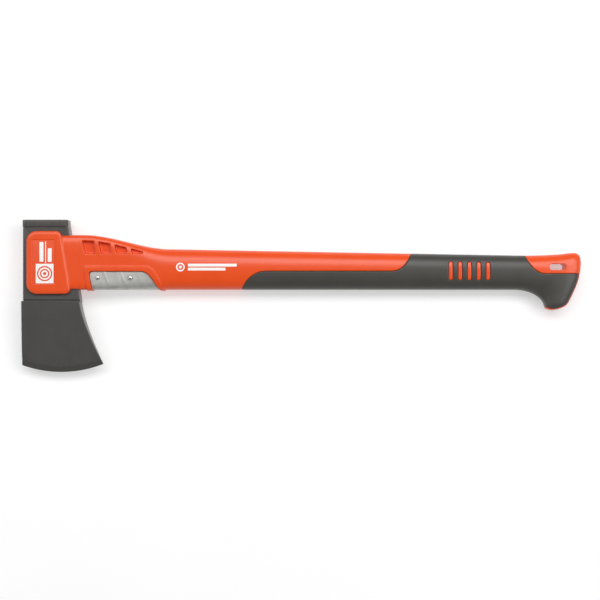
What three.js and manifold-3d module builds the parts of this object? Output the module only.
// Felling axe with a moulded composite handle, in millimetres.
//
// Design frame: X runs along the handle, from the toe side of the blade (0) to the back of the knob.
// Y runs from the cutting edge to the poll, with 0 on the underside of the shaft. Z runs through the
// thickness, with 0 on the mid-plane, about which the axe is symmetric. The exported group is shifted so
// that its origin is the middle of the footprint of the axe lying on its side.
import * as THREE from "three";
import { mergeVertices } from "three/addons/utils/BufferGeometryUtils.js";
import Module from "manifold-3d";

const wasm = await Module();
wasm.setup();

// ---- Driving dimensions ----------------------------------------------------------------------------

const OVERALL_LENGTH = 600;
const GAP = 0.3; // left between two pieces that bear on each other

// Neck and shaft
const NECK_TOP = 58.6; // top edge of the neck above the underside of the shaft
const NECK_SETBACK = 1.5; // face of the neck below the face of the cheek plates
const NECK_OVERLAP = 4; // neck material inside the edge of the cheek plates
const NECK_LEVEL = 4.4; // level stretch of the neck past the waist of the head
const NECK_TAPER = 92; // length of the slope from neck to shaft
const SHAFT_FRONT_HEIGHT = 43.6;
const SHAFT_REAR_HEIGHT = 36.9;
const SHAFT_HALF = 12.5; // half thickness
const BUTT_HALF = 11.8;
const NECK_SQUARENESS = 7; // exponents of the superellipse cross-section
const SHAFT_SQUARENESS = 2.5;

// Forged head
const WAIST_HALF = 9.75; // half thickness
const WAIST_INSET = 2.6;
const WAIST_TOP_WIDTH = 48.4;
const WAIST_FOOT_WIDTH = 61;
const POLL_INSET = 2;
const POLL_WIDTH = 48.7;
const POLL_HEIGHT = 7.6;
const POLL_PROUD = 1.5; // past the waist on each side
const POLL_CHAMFER = 2.5;
const POLL_CLEAR = 4.6; // waist seen between the poll and the cheek plates
const SHOULDER_CLEAR = 7.5; // waist seen between the cheek plates and the blade
const SHOULDER_PROUD = 1.25;
const SHOULDER_INSET = 0.8;
const SHOULDER_STEP = 1; // end of the shoulder, in from the end of the waist
const EDGE_DROP = 88.2; // lowest point of the cutting edge below the underside of the shaft
const BEARD_BEND = 3.9; // how far the back of the blade leans out before it sweeps to the heel
const BIT_WIDTH = 87.3;
const BIT_LOW_POINT = 42; // of the edge, from the toe
const BIT_RADIUS = 124;
const BEVEL_WIDTH = 6;
const BEVEL_HALF = 2;
const EDGE_HALF = 0.25;
const EYE_HALF = 6;
const EYE_TOP_WALL = 6.6; // from the top of the eye to the top of the neck
const EYE_FOOT_WALL = 8;

// Cheek plates of the moulding, one on each side of the waist, and their labels
const PLATE_INSET = 7;
const PLATE_TOP_WIDTH = 37;
const PLATE_FOOT_WIDTH = 44;
const PLATE_OVER_NECK = 4;
const PLATE_UNDER_NECK = 4.5;
const PLATE_THICKNESS = 5.5;
const PLATE_CORNER = 6.5;
const PLATE_BEVEL = 2;
const LABEL_MARGIN_SIDE = 6.35;
const LABEL_MARGIN_TOP = 9.4;
const LABEL_MARGIN_FOOT = 10.9;
const LABEL_RECESS = 1;
const LABEL_FILM = 0.5;

// Knob, measured from its back
const HOOK_START = 72; // where the underside starts to curve down
const HOOK_LENGTH = 33.3;
const HOOK_DROP = 20.2;
const TIP_DEPTH = 1.7; // of the tip, under the end of the hook
const TOP_RISE = 2.6; // of the top edge towards the back
const TOP_RISE_LENGTH = 46;

// Lightening pockets in the neck
const POCKET_COUNT = 4;
const POCKET_LEAD = 2.4; // first pocket, past the waist of the head
const POCKET_PITCH = 17.2;
const POCKET_RIB = 4;
const POCKET_FOOT = 38;
const POCKET_ROOF = 6; // below the top edge of the neck
const POCKET_LEAN = 0.22;
const POCKET_DEPTH = 6;

// Steel neck guard, its rivets and the lip moulded round it
const GUARD_LEAD = 10.3; // past the waist of the head
const GUARD_LENGTH = 75;
const GUARD_HEIGHT = 19.5;
const GUARD_SHEET = 1.5;
const GUARD_RECESS = 1.3; // its faces below those of the neck; its underside is flush
const GUARD_CORNER = 4;
const GUARD_SWEEP = 21; // length of the curve that ends it
const LIP_WIDTH = 5.5;
const LIP_RISE = 1.2;
const RIVET_OFFSETS = [8.9, 43.6]; // from the front end of the guard
const RIVET_UNDER_TOP = 6.7;
const RIVET_SHANK = 1.5;
const RIVET_HEAD = 2.3;
const RIVET_DOME = 1.4;

// Hollow glass-fibre core and the plugs in its ends
const CORE_LEAD = 7.3; // past the waist of the head
const CORE_TO_SLOT = 17;
const CORE_COVER_SIDE = 1.5; // moulding between the core and the faces under the grip
const CORE_COVER_TOP = 3.5;
const CORE_WALL = 2.5;
const PLUG_LENGTH = 5;

// Soft grip
const GRIP_SKIN = 2.5;
const BARE_SHAFT = 87; // from the end of the guard to the tip of the grip's tongue
const TONGUE_HEIGHT = 19.8;
const TONGUE_NOSE = 28;
const WRAP_START = 204; // where the grip closes round the shaft, from the back of the knob
const WRAP_RUN = 22;
const WRAP_END = 61.5;
const PAD_UNDER_SLOT = 4;
const PAD_RUN = 21.5;
const RIM_WIDTH = 2; // of the hard rim seen round the knob
const RIB_COUNT = 5;
const RIB_FIRST = 140.7; // from the back of the knob
const RIB_PITCH = 9.95;
const RIB_WIDTH = 4.1;
const RIB_FOOT = 10.4;
const RIB_ROOF = 7.8;

// Hanging slot through the butt
const SLOT_FROM_END = 26.4;
const SLOT_UNDER_TOP = 13.4;
const SLOT_LENGTH = 17.2;
const SLOT_HEIGHT = 6.6;

// Fineness of the curved surfaces
const SECTION_POINTS = 20;
const NECK_STEPS = 14;
const SHAFT_STEPS = 7;
const HOOK_STEPS = 28;
const RIVET_SIDES = 14;
const EDGE_SIDES = 120;
const REACH = 60; // past any surface, for prisms that cut right through

// ---- Places worked out from them -------------------------------------------------------------------

const neckTop = NECK_TOP;
const plateTop = neckTop + PLATE_OVER_NECK;
const plateFoot = -PLATE_UNDER_NECK;
const waistTop = plateTop + POLL_CLEAR;
const pollTop = waistTop + POLL_HEIGHT;
const shoulderTop = plateFoot - SHOULDER_CLEAR;
const waistEnd = WAIST_INSET + WAIST_FOOT_WIDTH; // widest point of the waist, where the blade starts

const plateHalf = WAIST_HALF + PLATE_THICKNESS;
const neckHalf = plateHalf - NECK_SETBACK;
const pollHalf = WAIST_HALF + POLL_PROUD;
const shoulderHalf = WAIST_HALF + SHOULDER_PROUD;

const neckStart = PLATE_INSET + PLATE_TOP_WIDTH - NECK_OVERLAP;
const taperStart = waistEnd + NECK_LEVEL;
const shaftStart = taperStart + NECK_TAPER;
const hookX = OVERALL_LENGTH - HOOK_START;
const pocketStart = waistEnd + POCKET_LEAD;
const guardStart = waistEnd + GUARD_LEAD;
const guardEnd = guardStart + GUARD_LENGTH;
const tongueTip = guardEnd + BARE_SHAFT;
const rivetXs = RIVET_OFFSETS.map((offset) => guardStart + offset);
const rivetY = GUARD_HEIGHT - RIVET_UNDER_TOP;
const slotX = OVERALL_LENGTH - SLOT_FROM_END;
const slotY = topEdge(slotX) - SLOT_UNDER_TOP;
const padTop = slotY - SLOT_HEIGHT / 2 - PAD_UNDER_SLOT;

const coreStart = waistEnd + CORE_LEAD;
const coreEnd = slotX - SLOT_LENGTH / 2 - CORE_TO_SLOT;
const coreY = SHAFT_REAR_HEIGHT / 2;
const coreHalfHeight = SHAFT_REAR_HEIGHT / 2 - GRIP_SKIN - GAP - CORE_COVER_TOP;
const coreHalf = Math.min(SHAFT_HALF, BUTT_HALF) - GRIP_SKIN - GAP - CORE_COVER_SIDE;

// Top edge of the handle at x: level neck, sloping shaft, then the rise towards the back of the knob.
function topEdge(x) {
  const along = THREE.MathUtils.clamp((x - shaftStart) / (hookX - shaftStart), 0, 1);
  const shaft = THREE.MathUtils.lerp(SHAFT_FRONT_HEIGHT, SHAFT_REAR_HEIGHT, along);
  const neck = (neckTop - shaft) * (1 - THREE.MathUtils.smoothstep(x, taperStart, shaftStart));
  const rise = THREE.MathUtils.smoothstep(x, OVERALL_LENGTH - TOP_RISE_LENGTH, OVERALL_LENGTH);
  return shaft + neck + TOP_RISE * rise;
}

// Half thickness of the handle at x, and how square its cross-section is there.
function halfThickness(x) {
  const slimming = THREE.MathUtils.smoothstep(x, taperStart, shaftStart);
  const shaft = THREE.MathUtils.lerp(neckHalf, SHAFT_HALF, slimming);
  return THREE.MathUtils.lerp(shaft, BUTT_HALF, THREE.MathUtils.smoothstep(x, hookX - HOOK_START, hookX));
}

function squareness(x) {
  const rounding = THREE.MathUtils.smoothstep(x, taperStart, shaftStart);
  return THREE.MathUtils.lerp(NECK_SQUARENESS, SHAFT_SQUARENESS, rounding);
}

// Outside of the knob: along the top edge, round the back and under to the tip of the hook.
const backTop = topEdge(OVERALL_LENGTH);
const tipY = -HOOK_DROP - TIP_DEPTH;
const knobOutside = new THREE.CatmullRomCurve3(
  [
    [-HOOK_START, topEdge(hookX)],
    [-50, topEdge(OVERALL_LENGTH - 50)],
    [-25, topEdge(OVERALL_LENGTH - 25)],
    [-5, topEdge(OVERALL_LENGTH - 5)],
    [-1.2, backTop - 3],
    [0, backTop - 9],
    [0, backTop - 13],
    [-2.8, backTop * 0.26],
    [-10.9, tipY * 0.4],
    [-15.4, tipY * 0.74],
    [-23, tipY + 1.5],
    [-33, tipY],
    [HOOK_LENGTH - HOOK_START + 1, tipY + TIP_DEPTH],
  ].map(([dx, y]) => new THREE.Vector3(OVERALL_LENGTH + dx, y, 0)),
  false,
  "centripetal",
);

// ---- Geometry helpers ------------------------------------------------------------------------------

// A closed three.js geometry as a manifold solid, moved by a matrix if one is given.
function solid(geometry, matrix = new THREE.Matrix4()) {
  const bare = geometry.clone();
  for (const name of ["normal", "uv"]) bare.deleteAttribute(name);
  const merged = mergeVertices(bare.applyMatrix4(matrix), 1e-4);
  const mesh = new wasm.Mesh({
    numProp: 3,
    vertProperties: new Float32Array(merged.attributes.position.array),
    triVerts: new Uint32Array(merged.index.array),
  });
  return new wasm.Manifold(mesh);
}

// The three.js geometry of a manifold solid.
function geometryOf(shape) {
  const { numProp, vertProperties, triVerts } = shape.getMesh();
  const points = new Float32Array((vertProperties.length / numProp) * 3);
  for (let i = 0; i < points.length / 3; i++) {
    points.set(vertProperties.subarray(i * numProp, i * numProp + 3), i * 3);
  }
  const geometry = new THREE.BufferGeometry();
  geometry.setAttribute("position", new THREE.BufferAttribute(points, 3));
  geometry.setIndex(new THREE.BufferAttribute(triVerts, 1));
  geometry.computeVertexNormals();
  return geometry;
}

const union = (shapes) => shapes.reduce((whole, shape) => whole.add(shape));

const AXES = {
  x: [new THREE.Vector3(0, 1, 0), new THREE.Vector3(0, 0, 1), new THREE.Vector3(1, 0, 0)],
  y: [new THREE.Vector3(0, 0, 1), new THREE.Vector3(1, 0, 0), new THREE.Vector3(0, 1, 0)],
  z: [new THREE.Vector3(1, 0, 0), new THREE.Vector3(0, 1, 0), new THREE.Vector3(0, 0, 1)],
};

// A flat outline drawn across an axis, extruded along it from low to high. Across X the outline is
// (Y, Z), across Y it is (Z, X) and across Z it is (X, Y).
function prism(outline, axis, low, high, { bevel = 0, curveSegments = 6 } = {}) {
  const geometry = new THREE.ExtrudeGeometry(outline, {
    depth: high - low - 2 * bevel,
    curveSegments,
    bevelEnabled: bevel > 0,
    bevelThickness: bevel,
    bevelSize: bevel,
    bevelOffset: -bevel,
    bevelSegments: 1,
  });
  geometry.translate(0, 0, low + bevel);
  return solid(geometry, new THREE.Matrix4().makeBasis(...AXES[axis]));
}

// The same prism on both sides of the mid-plane.
const onBothFaces = (outline, low, high) =>
  prism(outline, "z", low, high).add(prism(outline, "z", -high, -low));

const polygon = (points) => new THREE.Shape(points.map(([x, y]) => new THREE.Vector2(x, y)));

// A slot with round ends, its long side along the outline's first axis, or its second if upright.
function stadium(cx, cy, length, width, upright = false) {
  const r = width / 2;
  const reach = (length - width) / 2;
  const [dx, dy] = upright ? [0, reach] : [reach, 0];
  const turn = upright ? Math.PI / 2 : 0;
  const outline = new THREE.Shape();
  outline.absarc(cx + dx, cy + dy, r, turn - Math.PI / 2, turn + Math.PI / 2, false);
  outline.absarc(cx - dx, cy - dy, r, turn + Math.PI / 2, turn + (Math.PI * 3) / 2, false);
  return outline;
}

function ellipse(cx, cy, halfWidth, halfHeight) {
  const outline = new THREE.Shape();
  outline.absellipse(cx, cy, halfWidth, halfHeight, 0, Math.PI * 2, false, 0);
  return outline;
}

// A closed skin over a row of rings with the same number of points, capped at both ends.
function loft(rings) {
  const count = rings[0].length;
  const faces = [];
  for (let i = 0; i + 1 < rings.length; i++) {
    for (let k = 0; k < count; k++) {
      const a = i * count + k;
      const b = i * count + ((k + 1) % count);
      faces.push(a, b, a + count, b, b + count, a + count);
    }
  }
  const last = (rings.length - 1) * count;
  for (let k = 1; k + 1 < count; k++) faces.push(0, k + 1, k, last, last + k, last + k + 1);
  const points = rings.flat().flatMap((point) => point.toArray());
  const geometry = new THREE.BufferGeometry();
  geometry.setAttribute("position", new THREE.Float32BufferAttribute(points, 3));
  geometry.setIndex(faces);
  return solid(geometry);
}

// ---- Forged head -----------------------------------------------------------------------------------

function eyeOutline(grow) {
  const height = neckTop - EYE_TOP_WALL - EYE_FOOT_WALL + 2 * grow;
  return stadium((neckTop - EYE_TOP_WALL + EYE_FOOT_WALL) / 2, 0, height, 2 * (EYE_HALF + grow));
}

function pollBlock(grow) {
  const low = POLL_INSET - grow;
  const high = POLL_INSET + POLL_WIDTH + grow;
  const half = pollHalf + grow;
  const cut = POLL_CHAMFER;
  const outline = polygon([
    [-half, low + cut], [-half + cut, low], [half - cut, low], [half, low + cut],
    [half, high - cut], [half - cut, high], [-half + cut, high], [-half, high - cut],
  ]);
  return prism(outline, "y", waistTop - grow, pollTop);
}

// The waist runs a little into the poll above it and into the blade below it.
function waistBlock(grow) {
  const [top, foot] = [waistTop + 1, shoulderTop - 1];
  const outline = polygon([
    [WAIST_INSET - grow, top],
    [WAIST_INSET - grow, foot],
    [waistEnd + grow, foot],
    [WAIST_INSET + WAIST_TOP_WIDTH + grow, top],
  ]);
  return prism(outline, "z", -WAIST_HALF - grow, WAIST_HALF + grow);
}

// Height of the round cutting edge at x.
const edgeY = (x) => BIT_RADIUS - EDGE_DROP - Math.sqrt(BIT_RADIUS ** 2 - (x - BIT_LOW_POINT) ** 2);

// Side outline of the blade, run on below the edge so that the ground disc ends it.
function bladeSide() {
  const below = -EDGE_DROP - POLL_WIDTH;
  const heel = new THREE.Vector2(BIT_WIDTH, edgeY(BIT_WIDTH));
  const shoulder = new THREE.Vector2(waistEnd - SHOULDER_STEP, shoulderTop);
  const bend = new THREE.Vector2(shoulder.x + BEARD_BEND, THREE.MathUtils.lerp(shoulder.y, heel.y, 0.385));
  const slope = (heel.x - bend.x) / (bend.y - heel.y);
  const outline = new THREE.Shape();
  outline.moveTo(SHOULDER_INSET, shoulderTop);
  outline.lineTo(0, edgeY(0));
  outline.lineTo(0, below);
  outline.lineTo(heel.x + (heel.y - below) * slope, below);
  outline.lineTo(heel.x, heel.y);
  outline.quadraticCurveTo(bend.x, bend.y, shoulder.x, shoulder.y);
  return prism(outline, "z", -REACH, REACH, { curveSegments: 10 });
}

// The two cheeks of the blade seen from its end: full at the shoulder, thin at the bevel.
function bladeCheeks() {
  const foot = BEVEL_WIDTH - EDGE_DROP;
  const bend = THREE.MathUtils.lerp(shoulderTop, foot, 0.42);
  const bendHalf = THREE.MathUtils.lerp(shoulderHalf, BEVEL_HALF, 0.33);
  const outline = new THREE.Shape();
  outline.moveTo(shoulderTop, -shoulderHalf);
  outline.lineTo(shoulderTop, shoulderHalf);
  outline.quadraticCurveTo(bend, bendHalf, foot, BEVEL_HALF);
  outline.lineTo(foot - REACH, BEVEL_HALF);
  outline.lineTo(foot - REACH, -BEVEL_HALF);
  outline.lineTo(foot, -BEVEL_HALF);
  outline.quadraticCurveTo(bend, -bendHalf, shoulderTop, -shoulderHalf);
  return prism(outline, "x", -REACH, BIT_WIDTH + REACH);
}

// A disc whose rim is the cutting edge and whose sides near it are the ground bevel.
function bevelDisc() {
  const slope = (BEVEL_HALF - EDGE_HALF) / BEVEL_WIDTH;
  const run = REACH * 1.5;
  const half = EDGE_HALF + run * slope;
  const profile = [
    [0, -half], [BIT_RADIUS - run, -half], [BIT_RADIUS, -EDGE_HALF],
    [BIT_RADIUS, EDGE_HALF], [BIT_RADIUS - run, half], [0, half],
  ].map(([r, z]) => new THREE.Vector2(r, z));
  const geometry = new THREE.LatheGeometry(profile, EDGE_SIDES).rotateX(Math.PI / 2);
  return solid(geometry.translate(BIT_LOW_POINT, BIT_RADIUS - EDGE_DROP, 0));
}

const bladeBlock = () => bladeSide().intersect(bladeCheeks()).intersect(bevelDisc());

// Poll and waist, grown by a clearance where the moulding wraps them, with the blade.
const headOutside = (grow) => union([pollBlock(grow), waistBlock(grow), bladeBlock()]);

const headSolid = () => headOutside(0).subtract(prism(eyeOutline(0), "x", -REACH, BIT_WIDTH + REACH));

// ---- Envelope of the handle ------------------------------------------------------------------------

// One cross-section: a superellipse between an upper and a lower point, drawn in by a depth all round.
function sectionRing(upper, lower, half, power, inset) {
  const middle = upper.clone().add(lower).multiplyScalar(0.5);
  const reach = upper.clone().sub(lower).multiplyScalar(0.5);
  const least = 0.4;
  reach.setLength(Math.max(reach.length() - inset, least));
  const thin = Math.max(half - inset, least);
  const bend = (v) => Math.sign(v) * Math.abs(v) ** (2 / power);
  return Array.from({ length: SECTION_POINTS }, (_, k) => {
    const angle = (k / SECTION_POINTS) * Math.PI * 2;
    const point = middle.clone().addScaledVector(reach, bend(Math.cos(angle)));
    point.z = thin * bend(Math.sin(angle));
    return point;
  });
}

// The whole outside of neck, shaft and knob, drawn in by a depth all round, with the underside of neck and
// shaft let down by a drop first. Sections stand upright up to the hook, then fan round it between its
// hollow underside and the outside of the knob.
function envelope(inset, drop = 0) {
  const spread = (from, to, steps) => Array.from({ length: steps }, (_, i) => from + ((to - from) * i) / steps);
  const upright = [...spread(neckStart, shaftStart, NECK_STEPS), ...spread(shaftStart, hookX, SHAFT_STEPS)];
  const rings = upright.map((x) => {
    const [upper, lower] = [new THREE.Vector3(x, topEdge(x), 0), new THREE.Vector3(x, -drop, 0)];
    return sectionRing(upper, lower, halfThickness(x), squareness(x), inset);
  });
  for (let i = 0; i <= HOOK_STEPS; i++) {
    const turn = i / HOOK_STEPS;
    const angle = (turn * Math.PI) / 2;
    const lower = new THREE.Vector3(
      hookX + HOOK_LENGTH * Math.sin(angle), HOOK_DROP * (Math.cos(angle) - 1), 0,
    );
    const rounding = Math.max(0, (turn - 0.8) / 0.2);
    const half = BUTT_HALF * Math.sqrt(1 - 0.93 * rounding ** 2);
    rings.push(sectionRing(knobOutside.getPointAt(turn), lower, half, SHAFT_SQUARENESS, inset));
  }
  return loft(rings);
}

const outside = envelope(0);

// ---- Cuts and regions ------------------------------------------------------------------------------

// Side outline of what the soft grip covers: a tongue under the shaft, a full wrap, and a pad on the knob
// that stops short of its back by the rim. A positive grow widens it.
function gripRegion(grow) {
  const [tongue, pad] = [TONGUE_HEIGHT + grow, padTop + grow];
  const wrap = OVERALL_LENGTH - WRAP_START - grow;
  const butt = OVERALL_LENGTH - WRAP_END + grow;
  const tip = tongueTip - grow;
  const closed = wrap + WRAP_RUN;
  const innerEnd = hookX + HOOK_LENGTH - PAD_UNDER_SLOT;
  const region = new THREE.Shape();
  region.moveTo(tip, -REACH);
  region.lineTo(tip, -1);
  region.bezierCurveTo(tip + 4, tongue / 2, tip + 12, tongue, tip + TONGUE_NOSE, tongue);
  region.lineTo(wrap, tongue);
  region.bezierCurveTo(wrap + 12, tongue, wrap + 18, tongue * 1.5, closed, topEdge(closed) + 1);
  region.lineTo(closed, REACH);
  region.lineTo(butt, REACH);
  region.lineTo(butt, topEdge(butt) + 1);
  region.bezierCurveTo(butt + 3.5, slotY + 4, butt + 10.5, pad, butt + PAD_RUN, pad);
  const back = insideOfBack(RIM_WIDTH - grow).filter((point) => point.y < pad);
  region.lineTo(back[0].x, pad);
  for (const point of back) region.lineTo(point.x, point.y);
  region.lineTo(innerEnd, back.at(-1).y);
  region.lineTo(innerEnd, -REACH);
  return prism(region, "z", -REACH, REACH, { curveSegments: 8 });
}

// The back and underside of the knob's outline, moved in by the width of the rim.
function insideOfBack(rim) {
  const steps = 40;
  return Array.from({ length: steps + 1 }, (_, i) => i / steps)
    .filter((at) => at > 0.4)
    .map((at) => {
      const point = knobOutside.getPointAt(at);
      const along = knobOutside.getTangentAt(at);
      return new THREE.Vector2(point.x + along.y * rim, point.y - along.x * rim);
    });
}

// Side outline of the guard: square at the front, swept down at the back.
function guardRegion(grow) {
  const [low, high, top] = [guardStart - grow, guardEnd + grow, GUARD_HEIGHT + grow];
  const lean = 3; // of the front edge, back towards its foot
  const region = new THREE.Shape();
  region.moveTo(low + lean, -REACH);
  region.lineTo(low + lean, -1);
  region.lineTo(low, top - GUARD_CORNER);
  region.quadraticCurveTo(low, top, low + GUARD_CORNER, top);
  region.lineTo(high - GUARD_SWEEP, top);
  region.bezierCurveTo(high - GUARD_SWEEP / 2, top, high - GUARD_SWEEP / 3, top * 0.4, high, -1);
  region.lineTo(high, -REACH);
  return prism(region, "z", -REACH, REACH);
}

// One lightening pocket, cut in from both faces and leaving a web between them. The ribs between the
// pockets lean, and the pockets get lower with the top edge of the neck.
function pocketCut(index) {
  const left = pocketStart + index * POCKET_PITCH;
  const right = left + POCKET_PITCH - POCKET_RIB;
  const roof = (x) => topEdge(x) - POCKET_ROOF;
  const lean = (x) => POCKET_LEAN * (roof(x) - POCKET_FOOT);
  const outline = polygon([
    [left + lean(left), POCKET_FOOT], [right + lean(right) / 2, POCKET_FOOT],
    [right, roof(right)], [left, roof(left)],
  ]);
  return onBothFaces(outline, neckHalf - POCKET_DEPTH, REACH);
}

// The hard ribs that stand through the grip, as prisms right through the shaft.
function ribPrisms(grow) {
  const prisms = Array.from({ length: RIB_COUNT }, (_, i) => {
    const x = OVERALL_LENGTH - RIB_FIRST + i * RIB_PITCH;
    const roof = topEdge(x) - RIB_ROOF;
    const length = roof - RIB_FOOT + 2 * grow;
    const outline = stadium(x, (roof + RIB_FOOT) / 2, length, RIB_WIDTH + 2 * grow, true);
    return prism(outline, "z", -REACH, REACH, { curveSegments: 4 });
  });
  return union(prisms);
}

const slotCut = () => prism(stadium(slotX, slotY, SLOT_LENGTH, SLOT_HEIGHT), "z", -REACH, REACH);

function rivetHoles() {
  const r = RIVET_SHANK + GAP;
  return union(rivetXs.map((x) => prism(ellipse(x, rivetY, r, r), "z", -REACH, REACH)));
}

// A solid oval bar along the handle, in the place of the core.
function coreBar(inset, low, high) {
  const outline = ellipse(coreY, 0, coreHalfHeight - inset, coreHalf - inset);
  return prism(outline, "x", low, high, { curveSegments: 12 });
}

// ---- Moulded jacket --------------------------------------------------------------------------------

function cheekPlates() {
  const [left, top, foot, cut] = [PLATE_INSET, plateTop, plateFoot, PLATE_CORNER];
  const rightTop = left + PLATE_TOP_WIDTH;
  const rightFoot = left + PLATE_FOOT_WIDTH;
  const outline = polygon([
    [left, foot + cut], [left + cut, foot], [rightFoot - 1, foot], [rightFoot + 3, foot + 4],
    [rightTop, top - cut / 2], [rightTop - cut / 2, top], [left + cut, top], [left, top - cut],
  ]);
  return prism(outline, "z", -plateHalf, plateHalf, { bevel: PLATE_BEVEL });
}

function labelOutline(inset) {
  const left = PLATE_INSET + LABEL_MARGIN_SIDE + inset;
  const right = PLATE_INSET + PLATE_TOP_WIDTH - LABEL_MARGIN_SIDE - inset;
  const foot = plateFoot + LABEL_MARGIN_FOOT + inset;
  const top = plateTop - LABEL_MARGIN_TOP - inset;
  return polygon([[left, foot], [right, foot], [right, top], [left, top]]);
}

// The tongue of the moulding that fills the eye of the head.
const eyeTongue = () => prism(eyeOutline(-GAP), "x", WAIST_INSET, waistEnd + NECK_LEVEL);

const guardLip = () => envelope(-LIP_RISE).intersect(guardRegion(LIP_WIDTH));

function jacketSolid() {
  const underGrip = envelope(GRIP_SKIN + GAP);
  const underGuard = envelope(GUARD_RECESS + GUARD_SHEET + GAP, GUARD_RECESS);
  const handle = outside.subtract(gripRegion(GAP).subtract(underGrip));
  const ribs = outside.intersect(ribPrisms(0));
  const wrap = union([handle, ribs, guardLip(), cheekPlates()]).subtract(headOutside(GAP));
  const pockets = Array.from({ length: POCKET_COUNT }, (_, i) => pocketCut(i));
  const cuts = union([
    guardRegion(GAP).subtract(underGuard),
    onBothFaces(labelOutline(0), plateHalf - LABEL_RECESS, REACH),
    coreBar(-GAP, coreStart - GAP, coreEnd + GAP),
    rivetHoles(),
    slotCut(),
    ...pockets,
  ]);
  return wrap.add(eyeTongue()).subtract(cuts);
}

// ---- Pieces on and in the jacket -------------------------------------------------------------------

function gripSolid() {
  return outside.intersect(gripRegion(0)).subtract(envelope(GRIP_SKIN)).subtract(ribPrisms(GAP));
}

function guardSolid() {
  const sheet = envelope(GUARD_RECESS, GUARD_RECESS).intersect(guardRegion(0));
  return sheet.subtract(envelope(GUARD_RECESS + GUARD_SHEET, GUARD_RECESS)).subtract(rivetHoles());
}

function coreSolid() {
  const bore = coreBar(CORE_WALL, coreStart - 1, coreEnd + 1);
  return coreBar(0, coreStart, coreEnd).subtract(bore).subtract(rivetHoles());
}

const plugSolid = (low) => coreBar(CORE_WALL + GAP, low, low + PLUG_LENGTH);

// A rivet through neck and guard, with a domed head on each side.
function rivetSolid(x) {
  const seat = neckHalf - GUARD_RECESS + GAP;
  const domeSteps = 3;
  const dome = Array.from({ length: domeSteps }, (_, i) => {
    const angle = (i / domeSteps) * (Math.PI / 2);
    return [RIVET_HEAD * Math.cos(angle), seat + RIVET_DOME * Math.sin(angle)];
  });
  const upper = [[RIVET_SHANK, seat], ...dome, [0, seat + RIVET_DOME]];
  const lower = upper.map(([r, z]) => [r, -z]).reverse();
  const profile = [...lower, ...upper].map(([r, z]) => new THREE.Vector2(r, z));
  const geometry = new THREE.LatheGeometry(profile, RIVET_SIDES).rotateX(Math.PI / 2);
  return solid(geometry.translate(x, rivetY, 0));
}

function labelSolid(side) {
  const floor = plateHalf - LABEL_RECESS + GAP;
  const [low, high] = side > 0 ? [floor, floor + LABEL_FILM] : [-floor - LABEL_FILM, -floor];
  return prism(labelOutline(GAP), "z", low, high);
}

// ---- Materials and assembly ------------------------------------------------------------------------

const material = (color, roughness, metalness) =>
  new THREE.MeshStandardMaterial({ color, roughness, metalness });
const coatedSteel = material(0x52504d, 0.55, 0.4);
const orangePolyamide = material(0xf25c22, 0.42, 0);
const greyRubber = material(0x4c4b47, 0.6, 0);
const zincSteel = material(0xb4b5b0, 0.35, 1);
const glassFibre = material(0xd9d3b8, 0.6, 0);
const blackPlastic = material(0x26262a, 0.6, 0);
const labelFilm = material(0xe8502a, 0.4, 0);

const axe = new THREE.Group();
function place(name, shape, look) {
  const mesh = new THREE.Mesh(geometryOf(shape), look);
  mesh.name = name;
  axe.add(mesh);
}

place("axe_head", headSolid(), coatedSteel);
place("handle_jacket", jacketSolid(), orangePolyamide);
place("soft_grip", gripSolid(), greyRubber);
place("neck_guard", guardSolid(), zincSteel);
place("guard_rivet_front", rivetSolid(rivetXs[0]), zincSteel);
place("guard_rivet_rear", rivetSolid(rivetXs[1]), zincSteel);
place("handle_core", coreSolid(), glassFibre);
place("core_plug_front", plugSolid(coreStart), blackPlastic);
place("core_plug_rear", plugSolid(coreEnd - PLUG_LENGTH), blackPlastic);
place("cheek_label_upper", labelSolid(1), labelFilm);
place("cheek_label_lower", labelSolid(-1), labelFilm);

axe.position.set(-OVERALL_LENGTH / 2, (EDGE_DROP - pollTop) / 2, plateHalf);

const part = new THREE.Group();
part.add(axe);
export default part;
